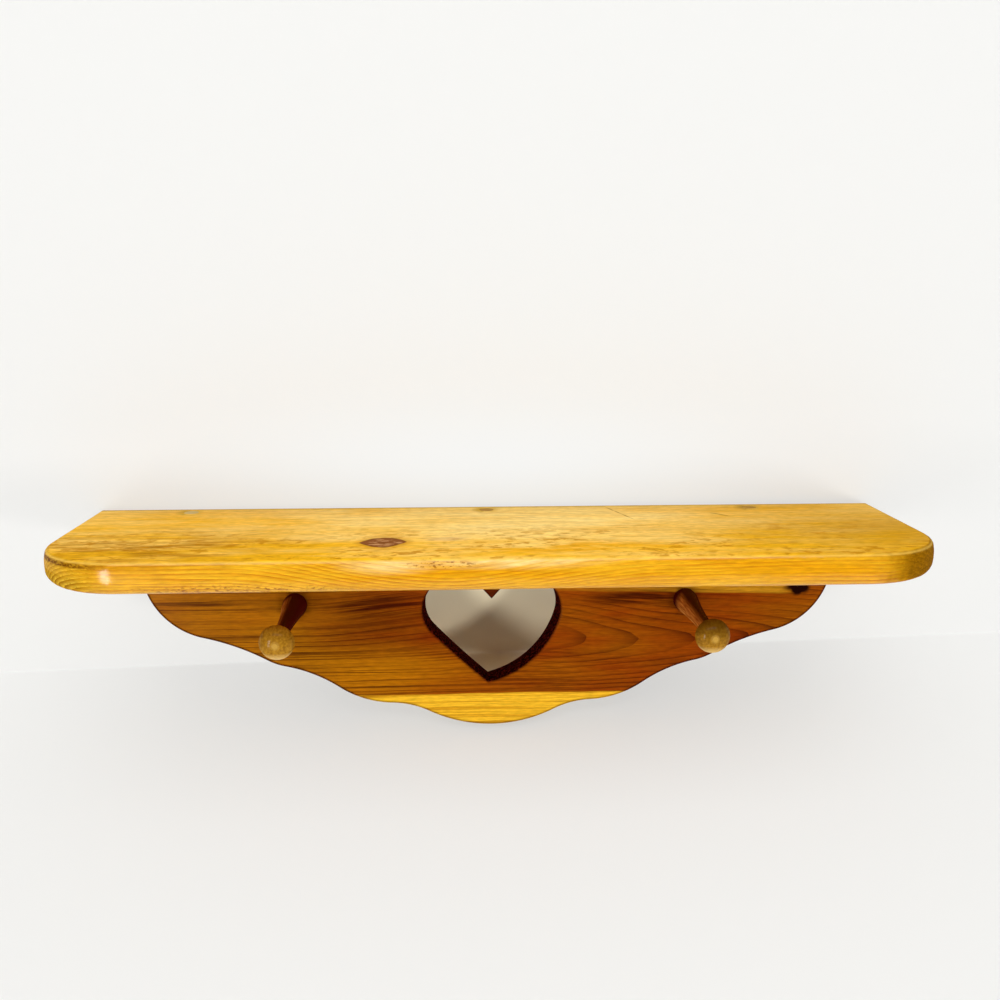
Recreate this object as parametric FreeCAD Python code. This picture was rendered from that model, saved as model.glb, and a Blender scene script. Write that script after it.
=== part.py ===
"""Pine wall shelf with a scalloped, heart-pierced backboard and two turned pegs.

Millimetres. X runs along the shelf, +Y points into the wall and +Z is up. The origin lies on the
wall face, midway between the entry holes of the two keyhole plates that the shelf hangs from.
"""
import FreeCAD
import Part
import math
import os

from FreeCAD import Vector

# Shelf board: a planed pine board with rounded front corners
shelf_length = 515.0
shelf_depth = 138.0
shelf_thickness = 19.0
corner_radius = 51.0
top_round = 2.5
underside_round = 6.0

# Backboard: its lower edge steps down to the centre in lobes joined by coves, one lobe under each peg
shelf_overhang = 30.0
backboard_height = 127.5
backboard_thickness = 19.0
end_straight = 16.0
end_lobe_radius = 49.0
outer_cove_radius = 156.0
peg_lobe_rise = 42.5
peg_lobe_radius = 40.0
middle_cove_radius = 96.0
middle_lobe_rise = 16.4
middle_lobe_radius = 65.5
inner_cove_radius = 59.5
centre_lobe_radius = 92.5
edge_ease = 0.8

# Heart sawn through the backboard by hand: its right side is fuller than its left
heart_drop = 46.7
heart_lobe_spacing = 47.0
heart_lobe_radius = 22.2
heart_cleft_angle = 84.0
heart_tip_drop = 97.0
heart_tip_lean = 2.3
heart_left_side_radius = 600.0
heart_right_side_radius = 65.0
heart_ease = 2.0

# Turned pegs: a tenon glued into the backboard, a tapered shank, a thin neck, a domed head and the
# nub that the lathe leaves at its centre
peg_spacing = 258.0
peg_drop = 41.5
tenon_diameter = 12.7
tenon_length = 16.0
tenon_chamfer = 1.0
tenon_clearance = 0.1
peg_reach = 82.0
peg_collar = 5.0
peg_base_diameter = 15.7
peg_neck_diameter = 8.0
peg_head_diameter = 21.0
peg_waist = 0.9
head_rim_round = 1.2
head_dome = 7.0
head_nub_diameter = 3.6
head_nub_rise = 0.4

# Wood screws down through the shelf into the backboard, each hidden by a glued plug
left_screw_inset = 32.5
middle_screw_out = 3.0
right_screw_inset = 55.5
shelf_screw_length = 38.0
shelf_screw_diameter = 4.2
shelf_screw_head = 8.0
shelf_screw_point = 7.0
counterbore_depth = 7.0
plug_diameter = 9.5
plug_clearance = 0.05
plug_seat = 0.2

# Keyhole plates let into the back, each held by two small screws
plate_length = 44.0
plate_width = 19.0
plate_thickness = 1.5
plate_inset = 24.3
plate_gap = 2.0
plate_clearance = 0.2
plate_screw_spacing = 33.0
plate_screw_length = 12.0
plate_screw_diameter = 2.8
plate_screw_head = 5.4
plate_screw_point = 3.0
keyhole_diameter = 9.0
keyhole_slot_width = 4.8
keyhole_slot_rise = 9.0
keyhole_below_middle = 3.0
pocket_margin = 1.2
pocket_depth = 9.0

# Shared by every screw
screw_head_angle = 82.0
screw_clearance = 0.05
drive_slot_width = 0.9
drive_slot_depth = 0.8

# Levels, counted from the keyholes' entry holes, and what the shelf's length leaves for the backboard
plate_top = keyhole_below_middle + plate_length / 2
underside = plate_top + plate_gap
shelf_top = underside + shelf_thickness
board_face = -backboard_thickness
backboard_length = shelf_length - 2 * shelf_overhang
plate_out = backboard_length / 2 - plate_inset

X_AXIS = Vector(1, 0, 0)
Y_AXIS = Vector(0, 1, 0)
Z_AXIS = Vector(0, 0, 1)


def unit(angle):
    """Unit vector in the XZ plane, at an angle from +X towards +Z."""
    return Vector(math.cos(angle), 0, math.sin(angle))


def angle_of(vector):
    """Angle of a vector in the XZ plane, from +X towards +Z."""
    return math.atan2(vector.z, vector.x)


def arc_edge(centre, radius, start, end):
    """Arc in an XZ plane from one angle to another; it runs clockwise where the end is the smaller."""
    angles = (start, (start + end) / 2, end)
    return Part.Arc(*[centre + unit(angle) * radius for angle in angles]).toShape()


def line_edge(start, end):
    """Straight edge between two points."""
    return Part.LineSegment(start, end).toShape()


def triangle_apex(first, second, first_side, second_side, turn):
    """Point at given distances from two points in the XZ plane, left of the way between them for turn +1."""
    way = second - first
    along = (first_side ** 2 - second_side ** 2 + way.Length ** 2) / (2 * way.Length)
    across = math.sqrt(first_side ** 2 - along ** 2)
    step = way / way.Length
    left = Vector(-step.z, 0, step.x)
    return first + step * along + left * (across * turn)


def mirrored(edges):
    """Edges mirrored in the centre plane x = 0."""
    return [edge.mirror(Vector(0, 0, 0), X_AXIS) for edge in edges]


def outline_face(edges):
    """Flat face inside a closed outline."""
    return Part.Face(Part.Wire(Part.__sortEdges__(edges)))


def stadium(bottom, top, radius, depth, front):
    """Upright slot-shaped block with round ends, from its front plane back over its depth."""
    lower = Vector(0, front, bottom)
    upper = Vector(0, front, top)
    side = X_AXIS * radius
    edges = [
        arc_edge(lower, radius, -math.pi, 0),
        line_edge(lower + side, upper + side),
        arc_edge(upper, radius, 0, math.pi),
        line_edge(upper - side, lower - side),
    ]
    return outline_face(edges).extrude(Y_AXIS * depth)


def lies_in(edge, axis, level):
    """Whether an edge lies wholly in the plane at a level along an axis."""
    samples = 5
    tolerance = 1e-6
    return all(abs(point.dot(axis) - level) < tolerance for point in edge.discretize(samples))


def turned(half_section):
    """Solid of revolution about the Z axis from the edges of half its section in the XZ plane."""
    return outline_face(half_section).revolve(Vector(0, 0, 0), Z_AXIS, 360)


def wood_screw(diameter, length, head, point, clearance):
    """Flat-headed screw along -Z with its head's top at z = 0, grown by a clearance where it is a hole."""
    shank = diameter / 2 + clearance
    rim = head / 2 + clearance
    head_depth = (head - diameter) / 2 / math.tan(math.radians(screw_head_angle / 2))
    end = -length - clearance
    section = [
        Vector(0, 0, 0),
        Vector(rim, 0, 0),
        Vector(shank, 0, -head_depth),
        Vector(shank, 0, end + point),
        Vector(0, 0, end),
        Vector(0, 0, 0),
    ]
    edges = [line_edge(a, b) for a, b in zip(section, section[1:])]
    return turned(edges)


def slotted(screw, head):
    """Screw with a straight drive slot across its head."""
    corner = Vector(-head, -drive_slot_width / 2, -drive_slot_depth)
    slot = Part.makeBox(2 * head, drive_slot_width, 2 * drive_slot_depth, corner)
    return screw.cut(slot)


def shelf_screw(clearance=0.0):
    """Screw that holds the shelf to the backboard."""
    return wood_screw(shelf_screw_diameter, shelf_screw_length, shelf_screw_head,
                      shelf_screw_point, clearance)


def plate_screw(clearance=0.0):
    """Screw that holds a keyhole plate, driven from the wall side."""
    return wood_screw(plate_screw_diameter, plate_screw_length, plate_screw_head,
                      plate_screw_point, clearance)


def upright_from_wall(shape):
    """A shape drawn along -Z, turned to run along -Y from the wall face."""
    return shape.rotated(Vector(0, 0, 0), X_AXIS, -90)


def shelf_screw_places():
    """Names and head centres of the shelf screws, over the middle of the backboard's thickness."""
    head_level = shelf_top - counterbore_depth
    end = backboard_length / 2
    outs = [
        ("left", left_screw_inset - end),
        ("middle", -middle_screw_out),
        ("right", end - right_screw_inset),
    ]
    return [(name, Vector(out, board_face / 2, head_level)) for name, out in outs]


def plate_places():
    """Names and entry hole centres of the keyhole plates on the wall face."""
    return [("left", Vector(-plate_out, 0, 0)), ("right", Vector(plate_out, 0, 0))]


def plate_screw_places():
    """Names and head centres of a plate's screws, above and below its keyhole."""
    half = plate_screw_spacing / 2
    return [
        ("upper", Vector(0, 0, keyhole_below_middle + half)),
        ("lower", Vector(0, 0, keyhole_below_middle - half)),
    ]


def peg_places():
    """Names and shoulder centres of the pegs on the backboard's front face."""
    level = underside - peg_drop
    half = peg_spacing / 2
    return [("left", Vector(-half, board_face, level)), ("right", Vector(half, board_face, level))]


def scallop_half():
    """Right half of the backboard's lower edge, end to centre: four lobes joined by three coves."""
    half = backboard_length / 2
    bottom = underside - backboard_height
    under_peg = peg_spacing / 2
    lobes = [
        (Vector(half - end_lobe_radius, board_face, underside - end_straight), end_lobe_radius),
        (Vector(under_peg, board_face, bottom + peg_lobe_rise + peg_lobe_radius), peg_lobe_radius),
        (Vector(under_peg / 2, board_face, bottom + middle_lobe_rise + middle_lobe_radius),
         middle_lobe_radius),
        (Vector(0, board_face, bottom + centre_lobe_radius), centre_lobe_radius),
    ]
    coves = [outer_cove_radius, middle_cove_radius, inner_cove_radius]
    edges = []
    start = 0.0
    for (lobe, radius), (inner, inner_radius), cove in zip(lobes, lobes[1:], coves):
        hollow = triangle_apex(lobe, inner, radius + cove, inner_radius + cove, +1)
        edges.append(arc_edge(lobe, radius, start, angle_of(hollow - lobe)))
        edges.append(arc_edge(hollow, cove, angle_of(lobe - hollow), angle_of(inner - hollow)))
        start = angle_of(hollow - inner)
    centre, radius = lobes[-1]
    edges.append(arc_edge(centre, radius, start, -math.pi / 2))
    return edges


def heart_half(side_radius, tip_out):
    """Right half of the heart: straight cleft edge, lobe, and a side arc that flows from it to the tip."""
    lobe = Vector(heart_lobe_spacing / 2, board_face, underside - heart_drop)
    tip = Vector(tip_out, board_face, underside - heart_tip_drop)
    slope = math.pi / 2 - math.radians(heart_cleft_angle / 2)
    top = slope + math.pi / 2
    touch = lobe + unit(top) * heart_lobe_radius
    cleft = touch - unit(slope) * (touch.x / math.cos(slope))
    side = triangle_apex(lobe, tip, side_radius - heart_lobe_radius, side_radius, -1)
    join = angle_of(lobe - side)
    return [
        line_edge(cleft, touch),
        arc_edge(lobe, heart_lobe_radius, top, join),
        arc_edge(side, side_radius, join, angle_of(tip - side)),
    ]


def heart_block():
    """Heart-shaped block through the backboard."""
    right = heart_half(heart_right_side_radius, -heart_tip_lean)
    left = mirrored(heart_half(heart_left_side_radius, heart_tip_lean))
    return outline_face(right + left).extrude(Y_AXIS * backboard_thickness)


def make_shelf_board():
    """Shelf board with rounded front corners, eased all round but at the wall, bored for its screws."""
    half = shelf_length / 2
    board = Part.makeBox(shelf_length, shelf_depth, shelf_thickness, Vector(-half, -shelf_depth, underside))
    front = [edge for edge in board.Edges if lies_in(edge, Y_AXIS, -shelf_depth)]
    corners = [edge for edge in front if lies_in(edge, X_AXIS, -half) or lies_in(edge, X_AXIS, half)]
    board = board.makeFillet(corner_radius, corners)
    for level, radius in ((shelf_top, top_round), (underside, underside_round)):
        rim = [edge for edge in board.Edges if lies_in(edge, Z_AXIS, level) and not lies_in(edge, Y_AXIS, 0)]
        board = board.makeFillet(radius, rim)
    for _, place in shelf_screw_places():
        board = board.cut(Part.makeCylinder(plug_diameter / 2, counterbore_depth, place))
        board = board.cut(shelf_screw(screw_clearance).translated(place))
    return board


def front_face(board):
    """Flat front face of the backboard."""
    return next(face for face in board.Faces
                if all(lies_in(edge, Y_AXIS, board_face) for edge in face.Edges))


def make_backboard():
    """Scalloped board with its heart, peg holes, screw holes and the seats of the keyhole plates."""
    half = backboard_length / 2
    end_top = Vector(half, board_face, underside)
    right = [line_edge(end_top, end_top - Z_AXIS * end_straight)] + scallop_half()
    top = line_edge(Vector(-half, board_face, underside), end_top)
    blank = outline_face([top] + right + mirrored(right)).extrude(Y_AXIS * backboard_thickness)
    scallop_rim = [edge for edge in front_face(blank).Edges if not lies_in(edge, Z_AXIS, underside)]
    board = blank.makeFillet(edge_ease, scallop_rim).cut(heart_block())
    face = front_face(board)
    heart_rim = [edge for wire in face.Wires if not wire.isSame(face.OuterWire) for edge in wire.Edges]
    board = board.makeFillet(heart_ease, heart_rim)
    for _, place in peg_places():
        hole = Part.makeCylinder(tenon_diameter / 2 + tenon_clearance, tenon_length + tenon_clearance,
                                 place, Y_AXIS)
        board = board.cut(hole)
    for _, place in shelf_screw_places():
        board = board.cut(shelf_screw(screw_clearance).translated(place))
    for _, place in plate_places():
        board = board.cut(plate_seat().translated(place))
    return board


def plate_seat():
    """What is routed out of the back for one keyhole plate: its bed, a pocket and the screw holes."""
    middle = keyhole_below_middle
    bed_radius = plate_width / 2 + plate_clearance
    reach = plate_length / 2 - plate_width / 2
    seat = stadium(middle - reach, middle + reach, bed_radius, plate_thickness, -plate_thickness)
    pocket_radius = keyhole_diameter / 2 + pocket_margin
    pocket = stadium(0, keyhole_slot_rise, pocket_radius, pocket_depth, -plate_thickness - pocket_depth)
    seat = seat.fuse(pocket)
    for _, place in plate_screw_places():
        seat = seat.fuse(upright_from_wall(plate_screw(screw_clearance)).translated(place))
    return seat


def make_plate():
    """Keyhole plate: a round-ended steel strip with an entry hole, a slot above it and two screw holes."""
    middle = keyhole_below_middle
    reach = plate_length / 2 - plate_width / 2
    plate = stadium(middle - reach, middle + reach, plate_width / 2, plate_thickness, -plate_thickness)
    entry = Part.makeCylinder(keyhole_diameter / 2, plate_thickness, Vector(0, 0, 0), -Y_AXIS)
    slot = stadium(0, keyhole_slot_rise, keyhole_slot_width / 2, plate_thickness, -plate_thickness)
    plate = plate.cut(entry).cut(slot)
    for _, place in plate_screw_places():
        plate = plate.cut(upright_from_wall(plate_screw(screw_clearance)).translated(place))
    return plate


def make_peg():
    """Turned peg with its shoulder at the origin: tenon, collar, hollow taper, neck, rim, dome and nub."""
    tenon = tenon_diameter / 2
    base = peg_base_diameter / 2
    neck = peg_neck_diameter / 2
    head = peg_head_diameter / 2
    nub = head_nub_diameter / 2
    dome_top = peg_reach - head_nub_rise
    rim = dome_top - head_dome
    rim_back = rim - head_rim_round
    cove = head - head_rim_round - neck
    neck_end = rim_back - cove
    waist = Vector((base + neck) / 2 - peg_waist, 0, (peg_collar + neck_end) / 2)
    cove_centre = Vector(head - head_rim_round, 0, neck_end)
    rim_centre = Vector(head - head_rim_round, 0, rim)
    quarter_pull = 4 / 3 * (math.sqrt(2) - 1)
    dome = Part.BezierCurve()
    dome.setPoles([
        Vector(head, 0, rim),
        Vector(head, 0, rim + quarter_pull * head_dome),
        Vector(nub + quarter_pull * (head - nub), 0, dome_top),
        Vector(nub, 0, dome_top),
    ])
    corners = [
        Vector(nub, 0, dome_top),
        Vector(nub, 0, peg_reach),
        Vector(0, 0, peg_reach),
        Vector(0, 0, -tenon_length),
        Vector(tenon - tenon_chamfer, 0, -tenon_length),
        Vector(tenon, 0, -tenon_length + tenon_chamfer),
        Vector(tenon, 0, 0),
        Vector(base, 0, 0),
        Vector(base, 0, peg_collar),
    ]
    edges = [line_edge(a, b) for a, b in zip(corners, corners[1:])]
    edges += [
        Part.Arc(corners[-1], waist, Vector(neck, 0, neck_end)).toShape(),
        arc_edge(cove_centre, cove, math.pi, math.pi / 2),
        arc_edge(rim_centre, head_rim_round, -math.pi / 2, 0),
        dome.toShape(),
    ]
    return turned(edges).rotated(Vector(0, 0, 0), X_AXIS, 90)


def make_plug():
    """Wood plug over a screw head, flush with the top of the shelf."""
    return Part.makeCylinder(plug_diameter / 2 - plug_clearance, counterbore_depth - plug_seat,
                             Vector(0, 0, plug_seat))


def make_parts():
    """Every piece of the shelf by name."""
    parts = {"shelf_board": make_shelf_board(), "backboard": make_backboard()}
    for side, place in peg_places():
        parts[side + "_peg"] = make_peg().translated(place)
    for side, place in shelf_screw_places():
        parts[side + "_shelf_screw"] = slotted(shelf_screw(), shelf_screw_head).translated(place)
        parts[side + "_screw_plug"] = make_plug().translated(place)
    for side, place in plate_places():
        parts[side + "_keyhole_plate"] = make_plate().translated(place)
        for level, offset in plate_screw_places():
            screw = upright_from_wall(slotted(plate_screw(), plate_screw_head))
            parts[f"{side}_plate_{level}_screw"] = screw.translated(place + offset)
    return parts


os.makedirs("parts", exist_ok=True)
for node, shape in make_parts().items():
    shape.exportStep(f"parts/{node}.step")
    print(f"{node}: {len(shape.Solids)} solid, valid {shape.isValid()}, {shape.Volume:.1f} mm3")
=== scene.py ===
"""Looks of a pine trinket shelf: varnished boards, turned birch pegs, wood plugs and zinc-plated hangers.

Lengths are in millimetres until they are put into a mesh or a material, which are in metres.
"""
import bmesh
import bpy
import functools
import math
import numpy as np

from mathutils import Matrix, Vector, geometry


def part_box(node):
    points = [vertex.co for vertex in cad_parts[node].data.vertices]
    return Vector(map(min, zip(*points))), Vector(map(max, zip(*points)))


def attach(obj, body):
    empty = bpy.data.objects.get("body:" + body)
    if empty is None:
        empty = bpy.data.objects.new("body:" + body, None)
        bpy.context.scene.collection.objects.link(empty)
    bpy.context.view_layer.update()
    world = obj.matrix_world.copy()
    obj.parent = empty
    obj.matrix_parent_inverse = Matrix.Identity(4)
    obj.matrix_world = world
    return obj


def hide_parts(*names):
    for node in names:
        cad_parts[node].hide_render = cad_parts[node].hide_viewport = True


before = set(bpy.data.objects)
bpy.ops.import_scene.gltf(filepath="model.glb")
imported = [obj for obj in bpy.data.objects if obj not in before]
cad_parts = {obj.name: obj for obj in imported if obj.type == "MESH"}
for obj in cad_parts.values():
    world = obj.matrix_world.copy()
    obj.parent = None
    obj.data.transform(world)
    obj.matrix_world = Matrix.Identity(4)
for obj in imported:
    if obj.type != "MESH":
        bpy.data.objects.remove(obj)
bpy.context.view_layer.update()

MM = 0.001

# Flat ring beside a round, which keeps the face next to it evenly shaded
guard_ring = 1.0

# Rings of points on a board's edge between its rounds
edge_rings = 12

# Shelf board
corner_radius = 51.0
top_round = 2.5
underside_round = 6.0
edge_belly = 0.9
edge_belly_share = 0.45
top_wear = 0.35
underside_wear = 0.5
plug_hole_radius = 4.75
plug_hole_depth = 7.0

# Backboard: lobes and coves of its lower edge, the heart, and where the sapwood starts
end_straight = 16.0
end_lobe_radius = 49.0
outer_cove_radius = 156.0
peg_lobe_rise = 42.5
peg_lobe_radius = 40.0
middle_cove_radius = 96.0
middle_lobe_rise = 16.4
middle_lobe_radius = 65.5
inner_cove_radius = 59.5
centre_lobe_radius = 92.5
edge_ease = 0.8
heart_drop = 46.7
heart_lobe_out = 23.5
heart_lobe_radius = 22.2
heart_cleft_half_angle = math.radians(42.0)
heart_tip_drop = 97.0
heart_tip_lean = 2.3
heart_left_side_radius = 600.0
heart_right_side_radius = 65.0
heart_ease = 2.0
heart_saw_lean = 0.032
sapwood_line = -77.0

# Turned pegs and plugs
turned_sides = 96
tenon_radius = 6.35
tenon_length = 16.0
tenon_chamfer = 1.0
peg_reach = 82.0
peg_collar = 5.0
peg_base_radius = 7.85
peg_neck_radius = 4.0
peg_head_radius = 10.5
peg_waist = 0.9
head_rim_round = 1.2
head_dome = 7.0
head_nub_radius = 1.8
head_nub_rise = 0.4
head_nub_round = 0.3
tenon_hole_radius = 6.45
tenon_hole_depth = 16.1

# Seats of the keyhole plates in the back
seat_half_length = 12.5
seat_radius = 9.7
seat_depth = 1.5
seat_middle_rise = 3.0
pocket_radius = 5.7
pocket_rise = 9.0
pocket_depth = 9.0


def box_mm(node):
    """Lowest and highest corners of a node in millimetres."""
    low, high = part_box(node)
    return np.array(low) / MM, np.array(high) / MM


def middle_mm(node):
    """Middle of a node's box in millimetres."""
    low, high = box_mm(node)
    return (low + high) / 2


shelf_low, shelf_high = box_mm("shelf_board")
board_low, board_high = box_mm("backboard")
underside = shelf_low[2]
shelf_top = shelf_high[2]
board_face = board_low[1]
shelf_thickness = shelf_top - underside
board_thickness = board_high[1] - board_low[1]


# Curves and loops in a plane

def around(centre, radius, start, end, step):
    """Points of a circle from one angle to another, about a step apart along it."""
    count = max(3, int(abs(end - start) * radius / step) + 1)
    angles = np.linspace(start, end, count)
    return centre + radius * np.stack([np.cos(angles), np.sin(angles)], axis=1)


def along(start, end, step):
    """Points of a straight line from one end to the other, about a step apart."""
    start, end = np.asarray(start, float), np.asarray(end, float)
    count = max(2, int(np.linalg.norm(end - start) / step) + 1)
    return start + (end - start) * np.linspace(0, 1, count)[:, None]


def bearing(vector):
    """Angle of a plane vector."""
    return math.atan2(vector[1], vector[0])


def apex(first, second, first_side, second_side, turn):
    """Third corner of a triangle by its side lengths, left of the way from first to second for turn +1."""
    way = second - first
    span = np.linalg.norm(way)
    reach = (first_side ** 2 - second_side ** 2 + span ** 2) / (2 * span)
    height = math.sqrt(first_side ** 2 - reach ** 2)
    step = way / span
    return first + step * reach + np.array([-step[1], step[0]]) * height * turn


def run(parts):
    """Runs of points laid end to end as one open run, without doubled points."""
    points = np.concatenate(parts)
    gap = np.linalg.norm(np.diff(points, axis=0), axis=1)
    return points[np.concatenate([[True], gap > 1e-6])]


def loop(points):
    """A run of points as one closed loop, without points that repeat the one before."""
    gap = np.linalg.norm(points - np.roll(points, 1, axis=0), axis=1)
    return points[gap > 1e-6]


def outward(points):
    """Unit normals of a closed loop: the way between each point's neighbours, turned to the right."""
    way = np.roll(points, -1, axis=0) - np.roll(points, 1, axis=0)
    normal = np.stack([way[:, 1], -way[:, 0]], axis=1)
    return normal / np.linalg.norm(normal, axis=1, keepdims=True)


def stadium(bottom, top, radius, step=1.0):
    """Upright slot outline around x = 0, counter-clockwise."""
    low, high = np.array([0.0, bottom]), np.array([0.0, top])
    return loop(run([around(low, radius, -math.pi, 0, step), around(high, radius, 0, math.pi, step)]))


def waves(distance, lengths):
    """Uneven line of wear between 0 and 1: sines of several wavelengths over a distance, added up."""
    parts = [np.sin(2 * math.pi * distance / length + length) for length in lengths]
    return 0.5 + 0.5 * sum(parts) / len(parts)


# Patches: arrays of points and the faces between them

def rings(points, steps, square=None):
    """A profile carried along a loop: each step moves the loop into the wood by an inset, at a depth.
    A straight side at a square level keeps its line, and its ends draw in with the sides beside it."""
    inset, depth = np.asarray(steps, float).T
    plan = points[None] - outward(points)[None] * inset[:, None, None]
    if square is not None:
        low, high = points[:, 0].min(), points[:, 0].max()
        kept = np.abs(points[:, 1] - square) < 1e-6
        drawn = np.clip(points[None, :, 0], low + inset[:, None], high - inset[:, None])
        plan[..., 0] = np.where(kept, drawn, plan[..., 0])
        plan[..., 1] = np.where(kept, square, plan[..., 1])
    level = np.broadcast_to(depth[:, None, None], plan.shape[:2] + (1,))
    return np.concatenate([plan, level], axis=2)


def round_steps(radius, turns=8):
    """Insets and depths of a quarter round, from a face at depth 0 down to a wall without inset."""
    angles = np.linspace(0, math.pi / 2, turns + 1)
    return [(radius * (1 - math.sin(angle)), radius * (1 - math.cos(angle))) for angle in angles]


def band(grid):
    """Faces of a grid of closed rings, one quad between four neighbours."""
    count, size = grid.shape[:2]
    index = np.arange(count * size).reshape(count, size)
    beside = np.roll(index, -1, axis=1)
    quads = np.stack([index[:-1], index[1:], beside[1:], beside[:-1]], axis=2).reshape(-1, 4)
    return grid.reshape(-1, 3), quads


def inside(points, loops):
    """Whether points lie within an odd number of loops, by counting the edges to their right."""
    hits = np.zeros(len(points), int)
    for rim in loops:
        a, b = rim, np.roll(rim, -1, axis=0)
        spans = (a[:, 1] > points[:, 1, None]) != (b[:, 1] > points[:, 1, None])
        rise = np.where(b[:, 1] == a[:, 1], 1.0, b[:, 1] - a[:, 1])
        crossing = a[:, 0] + (points[:, 1, None] - a[:, 1]) * (b[:, 0] - a[:, 0]) / rise
        hits += (spans & (crossing > points[:, 0, None])).sum(axis=1)
    return hits % 2 == 1


def cap(loops, depth, spacing=6.0):
    """Flat face within the first loop and outside the rest: a triangulation of the loops and of a square
    lattice of points between them."""
    rim = np.concatenate(loops)
    rows = [np.arange(low, high, spacing) for low, high in zip(rim.min(axis=0), rim.max(axis=0))]
    lattice = np.stack(np.meshgrid(*rows), axis=2).reshape(-1, 2)
    lattice = lattice[inside(lattice, loops)]
    nearest = np.linalg.norm(lattice[:, None] - rim[None], axis=2).min(axis=1)
    plan = np.concatenate([rim, lattice[nearest > spacing / 3]])
    edges, first = [], 0
    for points in loops:
        index = np.arange(first, first + len(points))
        edges += np.stack([index, np.roll(index, -1)], axis=1).tolist()
        first += len(points)
    found = geometry.delaunay_2d_cdt(plan.tolist(), edges, [], 0, 1e-6)
    plan, faces = np.array(found[0]), np.array(found[2])
    faces = faces[inside(plan[faces].mean(axis=1), loops)]
    return np.concatenate([plan, np.full((len(plan), 1), depth)], axis=1), faces


def turned_over(patch):
    """A patch with its faces looking the other way."""
    points, faces = patch
    return points, faces[:, ::-1]


def make_piece(name, patches, material, replaced, sharp_degrees=35.0):
    """One closed mesh from patches in millimetres, welded where their rims meet, smooth but at corners."""
    points, faces, first = [], [], 0
    for patch_points, patch_faces in patches:
        points.append(patch_points)
        faces += (patch_faces + first).tolist()
        first += len(patch_points)
    mesh = bpy.data.meshes.new(name)
    mesh.from_pydata(np.concatenate(points) * MM, [], faces)
    work = bmesh.new()
    work.from_mesh(mesh)
    bmesh.ops.remove_doubles(work, verts=work.verts, dist=1e-6)
    work.to_mesh(mesh)
    work.free()
    mesh.shade_smooth()
    mesh.set_sharp_from_angle(angle=math.radians(sharp_degrees))
    mesh.materials.append(material)
    piece = bpy.data.objects.new(name, mesh)
    bpy.context.scene.collection.objects.link(piece)
    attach(piece, "root")
    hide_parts(replaced)
    return piece


def vertex_places(piece):
    """Places of a piece's vertices in millimetres as an array."""
    flat = np.empty(len(piece.data.vertices) * 3)
    piece.data.vertices.foreach_get("co", flat)
    return flat.reshape(-1, 3) / MM


def vertex_normals(piece):
    """Unit normals of a piece's vertices as an array."""
    flat = np.empty(len(piece.data.vertices) * 3)
    piece.data.vertex_normals.foreach_get("vector", flat)
    return flat.reshape(-1, 3)


def mark(piece, name, values):
    """Store one number per vertex for the piece's material."""
    layer = piece.data.attributes.new(name, "FLOAT", "POINT")
    layer.data.foreach_set("value", np.asarray(values, np.float32))


# Materials

def linear(code):
    """Linear colour with alpha from an sRGB hex code."""
    channels = [int(code[i:i + 2], 16) / 255 for i in (1, 3, 5)]
    return [c / 12.92 if c <= 0.04045 else ((c + 0.055) / 1.055) ** 2.4 for c in channels] + [1.0]


def add(tree, kind, *inputs, out=0, **settings):
    """Add a node, apply its settings, then set or link its shown inputs in order; None skips one."""
    made = tree.nodes.new("ShaderNode" + kind)
    for name, value in settings.items():
        setattr(made, name, value)
    shown = [socket for socket in made.inputs if socket.enabled]
    for socket, value in zip(shown, inputs):
        if isinstance(value, bpy.types.NodeSocket):
            tree.links.new(value, socket)
        elif value is not None:
            socket.default_value = value
    if isinstance(out, str):
        return made.outputs[out]
    return [socket for socket in made.outputs if socket.enabled][out]


def new_material(name):
    """A material, the node helper for its tree, and object coordinates."""
    material = bpy.data.materials.new(name)
    material.use_nodes = True
    node = functools.partial(add, material.node_tree)
    return material, node, node("TexCoord", out="Object")


def wire(material, **sockets):
    """Set or link the named inputs of a material's main shader."""
    tree = material.node_tree
    for name, value in sockets.items():
        socket = tree.nodes["Principled BSDF"].inputs[name.replace("_", " ")]
        if isinstance(value, bpy.types.NodeSocket):
            tree.links.new(value, socket)
        else:
            socket.default_value = value
    return material


def mm(*lengths):
    """Lengths in millimetres as metres."""
    return [length * MM for length in lengths]


def blot(node, place, centre, radii, soft=0.5, turn=0.0):
    """Mask of an ellipsoid turned about Z: 1 inside, falling smoothly to 0 over the outer soft share."""
    local = node("Mapping", place, mm(*centre), (0.0, 0.0, turn), mm(*radii), vector_type="TEXTURE")
    distance = node("VectorMath", local, operation="LENGTH", out="Value")
    return node("MapRange", distance, 1.0 - soft, 1.0, 1.0, 0.0, interpolation_type="SMOOTHSTEP")


def streaks(node, place, size, detail=3.0, roughness=0.55):
    """Cloudy noise whose blobs have the given size in millimetres along each axis."""
    local = node("Mapping", place, None, None, mm(*size), vector_type="TEXTURE")
    return node("TexNoise", local, 1.0, detail, roughness)


def wander(node, place, size, reach):
    """Places pushed about by smooth noise of a size, up to half a reach along each axis."""
    local = node("Mapping", place, None, None, mm(*size), vector_type="TEXTURE")
    push = node("TexNoise", local, 1.0, 2.0, 0.5, out="Color")
    centred = node("VectorMath", push, (-0.5, -0.5, -0.5), operation="ADD")
    return node("VectorMath", centred, mm(*reach), place, operation="MULTIPLY_ADD")


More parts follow.
